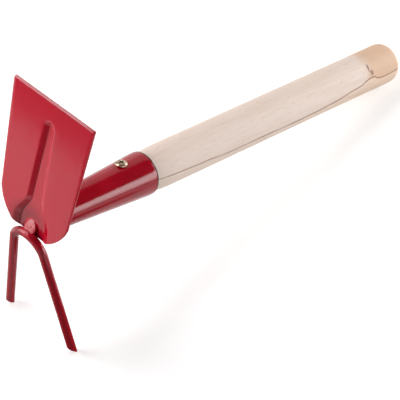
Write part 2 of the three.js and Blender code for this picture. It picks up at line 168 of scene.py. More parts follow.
# Orange peel, drawn 6 mm wide so that it shows, and pits of 1.5 mm from grinding and welding on the
# nose's face and the crown under it
peel = add_node(tree, "TexNoise", {"Vector": own, "Scale": 1 / 6, "Detail": 2.0})
bump = add_node(tree, "Bump", {"Height": peel.outputs["Fac"], "Strength": 0.25, "Distance": 0.2 * MM})
pits = add_node(tree, "TexNoise", {"Vector": own, "Scale": 1 / 1.5, "Detail": 1.0})
pitting = add_node(tree, "MapRange", {"Value": off_face.outputs[0], "To Min": 0.5, "To Max": 0.0})
bump = add_node(tree, "Bump", {
    "Height": pits.outputs["Fac"], "Strength": pitting.outputs[0], "Distance": 0.5 * MM,
    "Normal": bump.outputs["Normal"],
})
tree.links.new(colour.outputs[2], shader.inputs["Base Color"])
tree.links.new(dull.outputs[0], shader.inputs["Roughness"])
tree.links.new(bump.outputs["Normal"], shader.inputs["Normal"])
shader.inputs["IOR"].default_value = 1.45


def smooth_step(value, low, high):
    """0 below low, 1 above high, and a smooth rise between them"""
    share = min(max((value - low) / (high - low), 0), 1)
    return share * share * (3 - 2 * share)


def blend(first, last, share):
    """The value at that share of the way from the first to the last"""
    return first + (last - first) * share


def new_object(name, mesh):
    """An object at the origin for a finished mesh"""
    made = bpy.data.objects.new(name, mesh)
    bpy.context.scene.collection.objects.link(made)
    return made


def finish(form, name, material, node, sharp=35, stand=True):
    """Stands a drawn form up, makes its curved sides smooth, and has it stand for its CAD node"""
    if stand:
        bmesh.ops.transform(form, matrix=STANDING, verts=form.verts)
    bmesh.ops.recalc_face_normals(form, faces=form.faces)
    for face in form.faces:
        face.smooth = True
    for edge in form.edges:
        edge.smooth = edge.calc_face_angle(0) < math.radians(sharp)
    mesh = bpy.data.meshes.new(name)
    form.to_mesh(mesh)
    form.free()
    mesh.materials.append(material)
    piece = new_object(name, mesh)
    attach(piece, "root")
    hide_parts(node)
    return piece


def socket_section(distance):
    """Half width, half height and centre of the socket's outside at a distance from the blade's face"""
    slope = (SOCKET_RADIUS - SHOULDER_RADIUS) / (SOCKET_MOUTH - SHOULDER)
    rolled = max(distance - SOCKET_MOUTH + LIP_LENGTH, 0) / LIP_LENGTH
    radius = SOCKET_RADIUS - slope * (SOCKET_MOUTH - distance) - LIP_DROP * rolled ** 2
    widening = smooth_step(distance, NOSE_LENGTH, SHOULDER)
    return (blend(NOSE_HALF_WIDTH, radius, widening), blend(NOSE_HALF_HEIGHT, radius, widening),
            -NOSE_DROP * (1 - widening))


def extrude_ring(form, ring):
    """Extrudes a ring of edges. Its new corners and edges still lie on the old ones"""
    made = bmesh.ops.extrude_edge_only(form, edges=ring)["geom"]
    verts = dict.fromkeys(v for v in made if isinstance(v, bmesh.types.BMVert))
    edges = dict.fromkeys(e for v in verts for e in v.link_edges if e.other_vert(v) in verts)
    return list(verts), list(edges)


def draw_out(form, ring, was, becomes):
    """Extrudes a ring from one section to the next, both as distance, half width, half height, centre"""
    verts, ring = extrude_ring(form, ring)
    for vert in verts:
        vert.co = (vert.co.x * becomes[1] / was[1], becomes[0],
                   becomes[3] + (vert.co.z - was[3]) * becomes[2] / was[2])
    return ring


def with_rims(faces):
    """Faces together with their edges and corners, as a cut takes them"""
    edges = dict.fromkeys(e for f in faces for e in f.edges)
    verts = dict.fromkeys(v for f in faces for v in f.verts)
    return [*faces, *edges, *verts]


# The bore is drawn from its closed front out to the mouth, and the outside from there to the nose's face
lip = [SOCKET_MOUTH - LIP_LENGTH * (1 - step / LIP_STEPS) for step in range(LIP_STEPS + 1)]
neck = [blend(SHOULDER, NOSE_LENGTH, step / NECK_STEPS) for step in range(NECK_STEPS + 1)]
sections = []
for distance in [BORE_FRONT] + lip:
    bore_radius = socket_section(distance)[0] - SOCKET_WALL
    sections.append((distance, bore_radius, bore_radius, 0))
mouth_at = len(sections)
sections += [(distance, *socket_section(distance)) for distance in lip[::-1] + neck]
for step in range(NOSE_ROUND_STEPS + 1):
    turn = math.pi / 2 * (1 - step / NOSE_ROUND_STEPS)
    inset = NOSE_ROUNDING * (1 - math.sin(turn))
    sections.append((NOSE_FRONT + NOSE_ROUNDING * (1 - math.cos(turn)), NOSE_HALF_WIDTH - inset,
                     NOSE_HALF_HEIGHT - inset, -NOSE_DROP))
form = bmesh.new()
bmesh.ops.create_circle(form, cap_ends=False, segments=SOCKET_SIDES, radius=sections[0][1])
bmesh.ops.rotate(form, verts=form.verts, matrix=Matrix.Rotation(math.pi / 2, 3, "X"))
bmesh.ops.translate(form, verts=form.verts, vec=(0, sections[0][0], 0))
ring = form.edges[:]
bmesh.ops.edgeloop_fill(form, edges=ring)
mouth_rings = []
for at in range(1, len(sections)):
    ring = draw_out(form, ring, sections[at - 1], sections[at])
    if at in (mouth_at - 1, mouth_at):
        mouth_rings += ring
bmesh.ops.edgeloop_fill(form, edges=ring)
for vert in form.verts:
    if vert.co.y < NOSE_LENGTH:
        share = 1 - smooth_step(vert.co.y, NOSE_FRONT + NOSE_ROUNDING, NOSE_LENGTH)
        vert.co.y += (vert.co.z - NOSE_TILT_HEIGHT) * math.tan(NOSE_TILT) * share
bmesh.ops.bevel(form, geom=mouth_rings, offset=MOUTH_ROUNDING, segments=3, affect="EDGES", profile=0.5,
                material=-1)

# The rolled sheet's edges stop short of each other: the strip between them is cut out below, and the
# slit's two sides and its front end are closed
for side in (-1, 1):
    lower = [f for f in form.faces
             if f.calc_center_median().z < 0 and f.calc_center_median().y > BORE_FRONT]
    bmesh.ops.bisect_plane(form, geom=with_rims(lower), plane_co=(side * SEAM_GAP / 2, 0, 0),
                           plane_no=(1, 0, 0), dist=1e-5)
lower = [f for f in form.faces if f.calc_center_median().z < 0 and abs(f.calc_center_median().x) < SEAM_GAP]
bmesh.ops.bisect_plane(form, geom=with_rims(lower), plane_co=(0, SEAM_FRONT, 0), plane_no=(0, 1, 0),
                       dist=1e-5)
strip = [f for f in form.faces if f.calc_center_median().z < 0
         and abs(f.calc_center_median().x) < SEAM_GAP / 2 and f.calc_center_median().y > SEAM_FRONT]
bmesh.ops.delete(form, geom=strip, context="FACES")
for side in (-1, 1):
    edges = [e for e in form.edges if e.is_boundary and all(v.co.x * side > SEAM_GAP / 4 for v in e.verts)]
    ends = sorted({v for e in edges for v in e.verts if v.co.y < SEAM_FRONT + 0.01}, key=lambda v: v.co.z)
    edges += bmesh.ops.contextual_create(form, geom=[ends[0], ends[-1]])["edges"]
    bmesh.ops.edgeloop_fill(form, edges=edges)
bmesh.ops.edgeloop_fill(form, edges=[e for e in form.edges if e.is_boundary])
socket = finish(form, "rolled_socket", enamel, "socket")

# Blade: a trapezoid blanked from 2 mm steel sheet. A channel is pressed into it from the front, which
# stiffens it and flares where the socket's nose comes through. Its upper edge is ground to a bevel.
SHEET = 2
EDGE_HALF_WIDTH = 36.4
EDGE_HEIGHT = 93.6  # above the hoe's axis, where the ground bevel starts
EDGE_RISE = 1
EDGE_LAND = 0.8  # thickness that the bevel leaves
CORNER_HALF_WIDTH = 30.7
CORNER_HEIGHT = 14.1
BOTTOM_RADIUS = 31.7
BLADE_FOOT = -7.4
BLADE_LEAN = math.radians(1.6)
CHANNEL_TOP = 81
CHANNEL_TOP_HALF_WIDTH = 5.2
CHANNEL_NECK_HALF_WIDTH = 8.2
CHANNEL_DEPTH = 2
CHANNEL_WALL_RUN = 4
FLARE_TOP = 20
FLARE_BOTTOM = 1
FLARE_HALF_WIDTH = 16.8
FLARE_DEPTH = 2.5
FLARE_WALL_RUN = 5.4
RIM_SHARE = 0.35  # of the wall's run, over which its rim is rounded
LEAST_STRIP = 1  # least width of the flat and of the wall where the channel meets the blade's side
SLOT_TOP = -NOSE_DROP  # of the slot that lets the nose through
SLOT_HALF_WIDTH = 3.4
CUT_ROUNDING = 0.25  # of the blanked edges
FLOOR_STEPS = 8  # columns of the sheet from its middle to the channel's wall, over the wall, and beyond it
WALL_STEPS = 12
FLAT_STEPS = 12
ACROSS_STEPS = FLOOR_STEPS + WALL_STEPS + FLAT_STEPS
LOWER_ROWS = 40
UPPER_ROWS = 200
SIDE_SLOPE = (EDGE_HALF_WIDTH - CORNER_HALF_WIDTH) / (EDGE_HEIGHT - CORNER_HEIGHT)
ARC_HEIGHT = CORNER_HEIGHT + math.sqrt(BOTTOM_RADIUS ** 2 - CORNER_HALF_WIDTH ** 2)
CHANNEL_END = CHANNEL_TOP - CHANNEL_TOP_HALF_WIDTH


def blade_half_width(height):
    """From the blade's middle to its side: straight above the corners, and an arc below them"""
    if height >= CORNER_HEIGHT:
        return CORNER_HALF_WIDTH + SIDE_SLOPE * (height - CORNER_HEIGHT)
    return math.sqrt(BOTTOM_RADIUS ** 2 - (ARC_HEIGHT - height) ** 2)


def channel_at(height):
    """Half width at the rim, width of the sloped wall, and depth of the channel at that height"""
    flare = 1 - smooth_step(height, FLARE_BOTTOM, FLARE_TOP)
    along = min(max((height - FLARE_TOP) / (CHANNEL_END - FLARE_TOP), 0), 1)
    plain = blend(CHANNEL_NECK_HALF_WIDTH, CHANNEL_TOP_HALF_WIDTH, along)
    return (blend(plain, FLARE_HALF_WIDTH, flare), blend(CHANNEL_WALL_RUN, FLARE_WALL_RUN, flare),
            blend(CHANNEL_DEPTH, FLARE_DEPTH, flare))


def pressed_depth(across, height):
    """How far the press has pushed the sheet back at that place"""
    half_width, run, depth = channel_at(height)
    inwards = half_width - math.hypot(across, max(height - CHANNEL_END, 0))
    share = min(max(inwards / run, 0), 1)
    if share < RIM_SHARE:
        return depth * share ** 2 / (2 * RIM_SHARE) / (1 - RIM_SHARE / 2)
    return depth * (share - RIM_SHARE / 2) / (1 - RIM_SHARE / 2)


def column_at(step, height):
    """Distance from the middle of one of the sheet's columns, which follow the channel's wall"""
    side = blade_half_width(height)
    half_width, run, depth = channel_at(height)
    rim = min(half_width, side - LEAST_STRIP)
    foot = min(half_width - run, rim - LEAST_STRIP)
    if step <= FLOOR_STEPS:
        return foot * step / FLOOR_STEPS
    if step <= FLOOR_STEPS + WALL_STEPS:
        return blend(foot, rim, (step - FLOOR_STEPS) / WALL_STEPS)
    return blend(rim, side, (step - FLOOR_STEPS - WALL_STEPS) / FLAT_STEPS)


form = bmesh.new()
bmesh.ops.create_grid(form, x_segments=2 * ACROSS_STEPS, y_segments=LOWER_ROWS + UPPER_ROWS, size=1)
wall_foot = form.verts.layers.float.new("wall_foot")  # 1 along the foot of the left wall, for the enamel's painted shade in that crease
for vert in form.verts:
    column = round(vert.co.x * ACROSS_STEPS)
    row = round((vert.co.y + 1) / 2 * (LOWER_ROWS + UPPER_ROWS))
    if row <= LOWER_ROWS:
        height = blend(BLADE_FOOT, CORNER_HEIGHT, row / LOWER_ROWS)
    else:
        height = blend(CORNER_HEIGHT, EDGE_HEIGHT + EDGE_RISE, (row - LOWER_ROWS) / UPPER_ROWS)
    across = math.copysign(column_at(abs(column), height), column)
    vert.co = (across, pressed_depth(across, height), height)
    vert[wall_foot] = column == -FLOOR_STEPS and height < CHANNEL_TOP - CHANNEL_WALL_RUN
for side in (-1, 1):
    low_faces = [f for f in form.faces if f.calc_center_median().z < SLOT_TOP]
    bmesh.ops.bisect_plane(form, geom=with_rims(low_faces), plane_co=(side * SLOT_HALF_WIDTH, 0, 0),
                           plane_no=(1, 0, 0), dist=1e-5)
slot = [f for f in form.faces if f.calc_center_median().z < SLOT_TOP
        and abs(f.calc_center_median().x) < SLOT_HALF_WIDTH]
bmesh.ops.delete(form, geom=slot, context="FACES")
made = bmesh.ops.extrude_face_region(form, geom=form.faces[:], use_keep_orig=True)["geom"]
back = [v for v in made if isinstance(v, bmesh.types.BMVert)]
bmesh.ops.translate(form, vec=(0, SHEET, 0), verts=back)
for vert in back:
    vert[wall_foot] = 0
bmesh.ops.recalc_face_normals(form, faces=form.faces)
bmesh.ops.bisect_plane(form, geom=with_rims(form.faces[:]), plane_co=(0, 0, EDGE_HEIGHT),
                       plane_no=(0, -EDGE_RISE, SHEET - EDGE_LAND), clear_outer=True)
bmesh.ops.edgeloop_fill(form, edges=[e for e in form.edges if e.is_boundary])
rims = [e for e in form.edges if e.calc_face_angle(0) > math.radians(60)]
bmesh.ops.bevel(form, geom=rims, offset=CUT_ROUNDING, segments=3, affect="EDGES", profile=0.5, material=-1,
                clamp_overlap=False)
bmesh.ops.rotate(form, verts=form.verts, matrix=Matrix.Rotation(-BLADE_LEAN, 3, "X"))
blade = finish(form, "pressed_blade", enamel, "blade")

# Fork: one 6 mm steel rod bent over a former into an arch with two splayed tines, their ends cut
# slanting on the front side. It is welded in front of the socket's nose.
ROD_RADIUS = 3
ARCH_RADIUS = 14.3  # of the rod's centre line
TINE_LENGTH = 88.6
TINE_SPLAY = math.radians(11.4)
FORK_LEAN = math.radians(18.1)
CROWN_FORWARD = 1.27  # of the arch's top in front of the blade's face
CROWN_DROP = 7.14  # of the arch's top below the socket's axis
TIP_BEVEL = math.radians(44)
ROD_SIDES = 32
ARCH_STEPS = 56
PLACE_FORK = Matrix.Translation((0, -CROWN_FORWARD, -CROWN_DROP)) @ Matrix.Rotation(FORK_LEAN, 4, "X")
half_turn = math.pi / 2 - TINE_SPLAY
arch_end = Vector((ARCH_RADIUS * math.sin(half_turn), 0, -ARCH_RADIUS * (1 - math.cos(half_turn))))
down_tine = Vector((math.sin(TINE_SPLAY), 0, -math.cos(TINE_SPLAY))) * TINE_LENGTH
form = bmesh.new()
bmesh.ops.create_circle(form, cap_ends=False, segments=ROD_SIDES, radius=ROD_RADIUS)
bmesh.ops.rotate(form, verts=form.verts, matrix=Matrix.Rotation(-TINE_SPLAY, 3, "Y"))
bmesh.ops.translate(form, verts=form.verts, vec=arch_end + down_tine)
verts, ring = extrude_ring(form, form.edges[:])
bmesh.ops.translate(form, verts=verts, vec=-down_tine)
made = bmesh.ops.spin(form, geom=verts + ring, cent=(0, 0, -ARCH_RADIUS), axis=(0, 1, 0),
                      angle=-2 * half_turn, steps=ARCH_STEPS, use_merge=False,
                      use_duplicate=False)["geom_last"]
verts, ring = extrude_ring(form, [e for e in made if isinstance(e, bmesh.types.BMEdge)])
bmesh.ops.translate(form, verts=verts, vec=(-down_tine.x, 0, down_tine.z))
tip_height = (arch_end + down_tine).z + ROD_RADIUS * math.sin(TINE_SPLAY)
bmesh.ops.bisect_plane(form, geom=with_rims(form.faces[:]), clear_outer=True,
                       plane_co=(0, ROD_RADIUS, tip_height), plane_no=(0, -math.tan(TIP_BEVEL), -1))
bmesh.ops.edgeloop_fill(form, edges=[e for e in form.edges if e.is_boundary])
bmesh.ops.transform(form, matrix=PLACE_FORK, verts=form.verts)
fork = finish(form, "bent_fork", enamel, "fork")

# Welds: beads that join the nose to the blade's back and to the fork's arch in front and below. The
# enamel runs over them, so they look like soft swellings in the corners. The front one is ground flush
# with the nose's face.
VOXEL = 0.3
GROUND_FROM = -4.4  # height of the grinding's lower edge
GROUND_BEHIND = 0.05  # the nose's face


def keep_box(form, low, high):
    """Cuts a form down to a box and closes it again"""
    for axis in range(3):
        for bound, sign in ((low[axis], -1), (high[axis], 1)):
            plane_at = [0, 0, 0]
            facing = [0, 0, 0]
            plane_at[axis] = bound
            facing[axis] = sign
            bmesh.ops.bisect_plane(form, geom=with_rims(form.faces[:]), dist=1e-6, plane_co=plane_at,
                                   plane_no=facing, clear_outer=True)
            open_edges = [e for e in form.edges if e.is_boundary]
            if open_edges:
                bmesh.ops.edgeloop_fill(form, edges=open_edges)


def drop_crumbs(form):
    """Keeps a form's largest connected part, without the single voxels that fusing leaves beside it"""
    left = set(form.verts)
    islands = []
    while left:
        island = set()
        reached = {next(iter(left))}
        while reached:
            island |= reached
            reached = {e.other_vert(v) for v in reached for e in v.link_edges} - island
        islands.append(island)
        left -= island
    crumbs = set(form.verts) - max(islands, key=len)
    bmesh.ops.delete(form, geom=list(crumbs), context="VERTS")


def weld_between(name, pieces, node, low, high, rounds, ground=False):
    """Weld metal in the corners between pieces, within a box: the pieces and the CAD model's bead are
    fused there, and the corners are filled by rounds of smoothing"""
    form = bmesh.new()
    for piece in pieces:
        form.from_mesh(piece.data)
    bmesh.ops.transform(form, matrix=STANDING.inverted(), verts=form.verts)
    keep_box(form, low, high)
    bead = bmesh.new()
    bead.from_mesh(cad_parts[node].data)
    bmesh.ops.remove_doubles(bead, verts=bead.verts, dist=0.01 * MM)
    bmesh.ops.transform(bead, matrix=STANDING.inverted(), verts=bead.verts)
    keep_box(bead, low, high)
    lump_mesh = bpy.data.meshes.new(name)
    bead.to_mesh(lump_mesh)
    bead.free()
    form.from_mesh(lump_mesh)
    form.to_mesh(lump_mesh)
    form.free()
    lump = new_object(name, lump_mesh)
    fuse = lump.modifiers.new("fuse", "REMESH")
    fuse.mode = "VOXEL"
    fuse.voxel_size = VOXEL
    soften = lump.modifiers.new("soften", "SMOOTH")
    soften.factor = 0.5
    soften.iterations = rounds
    fused = bpy.data.meshes.new_from_object(lump.evaluated_get(bpy.context.evaluated_depsgraph_get()))
    bpy.data.objects.remove(lump)
    form = bmesh.new()
    form.from_mesh(fused)
    drop_crumbs(form)
    for vert in form.verts:
        face_at = NOSE_FRONT + (vert.co.z - NOSE_TILT_HEIGHT) * math.tan(NOSE_TILT) + GROUND_BEHIND
        if ground and vert.co.z > GROUND_FROM and vert.co.y < face_at:
            vert.co.y = face_at
    return finish(form, name, enamel, node, sharp=80)


weld_between("weld_in_front_of_nose", [socket, fork], "fork_weld_front",
             low=(-8, -6, -14), high=(4, 4, -1.6), rounds=24, ground=True)
weld_between("weld_under_nose", [socket, fork], "fork_weld_rear",
             low=(-9, -2, -14), high=(9, 11, -3), rounds=30)
weld_between("weld_on_blade_back", [socket, blade], "blade_weld",
             low=(-9.5, 2.6, -6), high=(9.5, 9, 7), rounds=30)

# Handle: birch, turned to a taper that is driven into the socket, swelling just beyond the mouth and
# rounded at the butt, then sanded and left without varnish.
HANDLE_RADIUS = 15
GRIP_LENGTH = 260.7  # from the socket's mouth to the butt
SWELL_LENGTH = 17  # over which the wood widens beyond the mouth
BUTT_DOME = 8.8
DOME_FULLNESS = 0.85  # below 1, the dome is fuller than an ellipse
END_GAP = 2  # between the wood's front end and the bore's
END_CHAMFER = 1.5
FIT = 0.3  # between the wood and the bore
WOOD_FRONT = BORE_FRONT + END_GAP
BUTT_END = SOCKET_MOUTH + GRIP_LENGTH
SWELL_STEPS = 12
DOME_STEPS = 24
HANDLE_SIDES = 96


def seat_radius(distance):
    """The wood's radius inside the socket"""
    return socket_section(distance)[0] - SOCKET_WALL - FIT


profile = [(WOOD_FRONT, 0), (WOOD_FRONT, seat_radius(WOOD_FRONT) - END_CHAMFER)]
profile += [(distance, seat_radius(distance)) for distance in [WOOD_FRONT + END_CHAMFER] + lip]
for step in range(1, SWELL_STEPS + 1):
    share = step / SWELL_STEPS
    widening = 2 * smooth_step(share, -1, 1) - 1  # steep at the mouth, then level
    radius = blend(seat_radius(SOCKET_MOUTH), HANDLE_RADIUS, widening)
    profile.append((SOCKET_MOUTH + SWELL_LENGTH * share, radius))
for step in range(DOME_STEPS + 1):
    turn = math.pi / 2 * step / DOME_STEPS
    radius = 0 if step == DOME_STEPS else HANDLE_RADIUS * math.cos(turn) ** DOME_FULLNESS
    profile.append((BUTT_END - BUTT_DOME * (1 - math.sin(turn) ** DOME_FULLNESS), radius))
form = bmesh.new()
outline = [form.verts.new((radius, distance, 0)) for distance, radius in profile]
outline_edges = [form.edges.new(pair) for pair in zip(outline, outline[1:])]
bmesh.ops.spin(form, geom=outline + outline_edges, cent=(0, 0, 0), axis=(0, 1, 0), angle=2 * math.pi,
               steps=HANDLE_SIDES, use_merge=True, use_duplicate=False)
bmesh.ops.remove_doubles(form, verts=form.verts, dist=0.001)

# Birch, turned and sanded, with no varnish: dull and pale, with faint grey-brown fibres along it. A dark
# ring runs along its right side and parts the pale sapwood from the tan wood under it and at the butt,
# and climbs round a small knot near the butt
SAPWOOD = "#eedcd2"
SAPWOOD_WARM = "#e9d2bf"
TAN_WOOD = "#efe0d5"
BUTT_WOOD = "#dfba9c"
UNDER_BUTT_LIGHT = "#edd1ba"  # painted light: paler below the ring at the butt, for light from below on the right
RING_HALO = "#e9cbb2"
FIBRE_BROWN = "#c9ab95"
RING_BROWN = "#8f5228"
KNOT_BROWN = "#7d5347"
MOUTH_SHADE = "#3f1618"  # where the wood enters the mouth, dark with shade and enamel
RING_HEIGHTS = [(104, 3.0), (125, 2.0), (150, 1.0), (177, -0.9), (205, -0.7), (233, -1.5), (259, -1.4),
                (281, -0.5), (304, 1.9), (316, 3.4), (322, 5.4), (328, 6.3), (334, 4.2), (341, 3.0),
                (354, 3.5), (364, 3.5)]  # along the handle, and above its axis on its right side
RING_REACH = 10.0  # the ring's curve holds heights of up to this, above and below the axis
RING_TILT = 0.25  # how much the ring climbs from the right side to the left
RING_WIDTH = 1.0  # to each side, wider than the real ring's 0.3 mm so that it shows
BUTT_WOOD_FROM = 327
KNOT_EYES = ((326.8, 53, (6.0, 1.6, 4.0)),  # distance, degrees up from the right side, and the reach
             (328.8, 36, (6.0, 2.2, 3.0)))  # of each eye inwards, along the handle and round it
birch, tree, shader, own = start_material("sanded_birch")
apart = add_node(tree, "SeparateXYZ", {"Vector": own}).outputs
sway = add_node(tree, "TexNoise", {"Vector": own, "Scale": 1 / 25, "Detail": 2.0}).outputs["Fac"]

# How far each point is above the ring: its height on the right side is a curve along the handle
ring_from, ring_to = RING_HEIGHTS[0][0], RING_HEIGHTS[-1][0]
ring_share = add_node(tree, "MapRange", {"Value": apart["Y"], "From Min": ring_from, "From Max": ring_to})
ring_curve = add_node(tree, "FloatCurve", {"Value": ring_share.outputs[0]})
points = ring_curve.mapping.curves[0].points
places = [((distance - ring_from) / (ring_to - ring_from), (height + RING_REACH) / (2 * RING_REACH))
          for distance, height in RING_HEIGHTS]
points[0].location = places[0]
points[1].location = places[-1]
for place in places[1:-1]:
    points.new(*place)
ring_curve.mapping.update()
ring_height = add_node(tree, "MapRange", {
    "Value": ring_curve.outputs[0], "To Min": -RING_REACH, "To Max": RING_REACH,
})
tilted = add_node(tree, "MapRange", {
    "Value": apart["X"], "From Min": -HANDLE_RADIUS, "From Max": HANDLE_RADIUS,
    "To Min": 2 * HANDLE_RADIUS * RING_TILT, "To Max": 0.0,
})
wavering = add_node(tree, "MapRange", {"Value": sway, "To Min": -0.7, "To Max": 0.7})
above = add_node(tree, "Math", {0: apart["Z"], 1: ring_height.outputs[0]}, operation="SUBTRACT")
for shift in (tilted, wavering):
    above = add_node(tree, "Math", {0: above.outputs[0], 1: shift.outputs[0]}, operation="ADD")
under_ring = add_node(tree, "MapRange", {
    "Value": above.outputs[0], "From Min": 0.5, "From Max": -0.7,
}, interpolation_type="SMOOTHSTEP")
halo_most = add_node(tree, "MapRange", {
    "Value": apart["Y"], "From Min": 220.0, "From Max": 320.0, "To Min": 0.3, "To Max": 0.7,
})
halo = add_node(tree, "MapRange", {
    "Value": above.outputs[0], "From Min": 3.0, "From Max": -4.0, "To Max": halo_most.outputs[0],
}, interpolation_type="SMOOTHSTEP")

# Sapwood that warms towards the top in broad patches, the tan wood under the ring, and the butt's, which
# painted light makes paler below the ring
upper = add_node(tree, "MapRange", {"Value": apart["Z"], "From Min": 0.0, "From Max": 16.0, "To Max": 0.5})
broad = add_node(tree, "TexNoise", {"Vector": own, "Scale": 1 / 45, "Detail": 1.0})
warmth = add_node(tree, "Math", {
    0: upper.outputs[0], 1: broad.outputs["Fac"], 2: 0.1,
}, operation="MULTIPLY_ADD")
wood = add_node(tree, "Mix", {
    "Factor": warmth.outputs[0], 6: linear(SAPWOOD), 7: linear(SAPWOOD_WARM),
}, data_type="RGBA")
wander = add_node(tree, "MapRange", {"Value": sway, "To Min": -9.0, "To Max": 9.0})
toward_butt = add_node(tree, "Math", {0: apart["Y"], 1: wander.outputs[0]}, operation="ADD")
at_butt = add_node(tree, "MapRange", {
    "Value": toward_butt.outputs[0], "From Min": BUTT_WOOD_FROM - 5.0, "From Max": BUTT_WOOD_FROM + 4.0,
}, interpolation_type="SMOOTHSTEP")
butt_wood_and_light = add_node(tree, "Mix", {
    "Factor": under_ring.outputs[0], 6: linear(BUTT_WOOD), 7: linear(UNDER_BUTT_LIGHT),
}, data_type="RGBA")
for amount, colour in ((under_ring, linear(TAN_WOOD)), (halo, linear(RING_HALO)),
                       (at_butt, butt_wood_and_light.outputs[2])):
    wood = add_node(tree, "Mix", {
        "Factor": amount.outputs[0], 6: wood.outputs[2], 7: colour,
    }, data_type="RGBA")

# Fibres 2 mm wide and 60 mm long and finer ones of 0.6 by 20 mm, drawn twice as coarse as the real ones
# so that they show, and flecks of 1.2 by 6 mm
long_way = add_node(tree, "Mapping", {
    "Vector": own, "Scale": (1 / 2, 1 / 60, 1 / 2), "Rotation": (0.02, 0, 0.01),
})
streaks = add_node(tree, "TexNoise", {
    "Vector": long_way.outputs["Vector"], "Scale": 1.0, "Detail": 4.0, "Roughness": 0.6, "Distortion": 0.3,
})
fine_way = add_node(tree, "Mapping", {"Vector": own, "Scale": (1 / 0.6, 1 / 20, 1 / 0.6)})
fibres = add_node(tree, "TexNoise", {"Vector": fine_way.outputs["Vector"], "Scale": 1.0, "Detail": 2.0})
fleck_way = add_node(tree, "Mapping", {"Vector": own, "Scale": (1 / 1.2, 1 / 6, 1 / 1.2)})
flecks = add_node(tree, "TexNoise", {"Vector": fleck_way.outputs["Vector"], "Scale": 1.0, "Detail": 0.0})
for pattern, faint_at, full_at, most in ((streaks, 0.45, 0.8, 0.3), (fibres, 0.4, 0.9, 0.3),
                                         (flecks, 0.66, 0.8, 0.25)):
    amount = add_node(tree, "MapRange", {
        "Value": pattern.outputs["Fac"], "From Min": faint_at, "From Max": full_at, "To Max": most,
    }, interpolation_type="SMOOTHSTEP")
    wood = add_node(tree, "Mix", {
        "Factor": amount.outputs[0], 6: wood.outputs[2], 7: linear(FIBRE_BROWN),
    }, data_type="RGBA")

# The ring is broken up by the fibres and fades towards the mouth
off_ring = add_node(tree, "Math", {0: above.outputs[0]}, operation="ABSOLUTE")
on_ring = add_node(tree, "MapRange", {
    "Value": off_ring.outputs[0], "From Min": RING_WIDTH, "From Max": 0.0,
}, interpolation_type="SMOOTHSTEP")
broken = add_node(tree, "MapRange", {
    "Value": fibres.outputs["Fac"], "From Min": 0.3, "From Max": 0.55, "To Min": 0.45, "To Max": 0.95,
})
fading = add_node(tree, "MapRange", {
    "Value": apart["Y"], "From Min": 110.0, "From Max": 290.0, "To Min": 0.75,
})
for share in (broken, fading):
    on_ring = add_node(tree, "Math", {0: on_ring.outputs[0], 1: share.outputs[0]}, operation="MULTIPLY")
darkened = [(on_ring, RING_BROWN)]

# The knot: two dark eyes that touch, 2 mm by 5 mm and 3 mm by 4 mm, on the upper right side
ragged = add_node(tree, "TexNoise", {"Vector": own, "Scale": 1 / 1.5, "Detail": 2.0})
for distance, degrees, reach in KNOT_EYES:
    around = math.radians(degrees)
    knot_way = add_node(tree, "Mapping", {
        "Vector": own, "Rotation": (0, -around, 0), "Scale": reach,
        "Location": (HANDLE_RADIUS * math.cos(around), distance, HANDLE_RADIUS * math.sin(around)),
    }, vector_type="TEXTURE")
    from_eye = add_node(tree, "VectorMath", {0: knot_way.outputs["Vector"]}, operation="LENGTH")
    from_eye = add_node(tree, "Math", {
        0: from_eye.outputs["Value"], 1: ragged.outputs["Fac"],
    }, operation="ADD")
    eye = add_node(tree, "MapRange", {
        "Value": from_eye.outputs[0], "From Min": 1.5, "From Max": 0.8, "To Max": 0.8,
    }, interpolation_type="SMOOTHSTEP")
    darkened.append((eye, KNOT_BROWN))
at_mouth = add_node(tree, "MapRange", {
    "Value": apart["Y"], "From Min": SOCKET_MOUTH + 0.9, "From Max": SOCKET_MOUTH + 0.3,
})
darkened.append((at_mouth, MOUTH_SHADE))
for amount, darker in darkened:
    wood = add_node(tree, "Mix", {
        "Factor": amount.outputs[0], 6: wood.outputs[2], 7: linear(darker),
    }, data_type="RGBA")
bump = add_node(tree, "Bump", {"Height": fibres.outputs["Fac"], "Strength": 0.25, "Distance": 0.15 * MM})
tree.links.new(wood.outputs[2], shader.inputs["Base Color"])
tree.links.new(bump.outputs["Normal"], shader.inputs["Normal"])
shader.inputs["Roughness"].default_value = 0.62
finish(form, "turned_handle", birch, "handle")

# Screw: a steel wood screw with a pan head and a cross recess, plated with yellow zinc and driven
# through the top of the socket into the wood.
SCREW_DISTANCE = 82
SCREW_TURN = math.radians(8)  # off the top of the socket
HEAD_TOP = 16.75  # above the socket's axis
RECESS_REACH = 2.35  # of the cross's arms from the screw's axis

# Yellow zinc, electroplated and passivated: a satin brassy metal with a patchy straw and olive tint.
# Patches of 1.8 mm, scuffs of 0.35 mm
ZINC_OLIVE = "#b5977b"
ZINC_STRAW = "#dec5ab"
ZINC_SHADED = "#2b1d14"  # where the head meets the socket
RECESS_SHADE = "#1d130d"  # painted shade in the cross recess
zinc, tree, shader, own = start_material("yellow_zinc_plating")
patches = add_node(tree, "TexNoise", {"Vector": own, "Scale": 1 / 1.8, "Detail": 3.0})
tint = add_node(tree, "ValToRGB", {"Fac": patches.outputs["Fac"]})
olive, straw = tint.color_ramp.elements
olive.position, olive.color = 0.35, linear(ZINC_OLIVE)
straw.position, straw.color = 0.65, linear(ZINC_STRAW)
# Painted shade, from the ambient occlusion, where the head meets the socket
open_air = add_node(tree, "AmbientOcclusion", {"Distance": 0.9 * MM})
unshaded = add_node(tree, "MapRange", {"Value": open_air.outputs["AO"], "From Min": 0.45, "From Max": 0.8})
colour = add_node(tree, "Mix", {
    "Factor": unshaded.outputs[0], 6: linear(ZINC_SHADED), 7: tint.outputs["Color"],
}, data_type="RGBA")
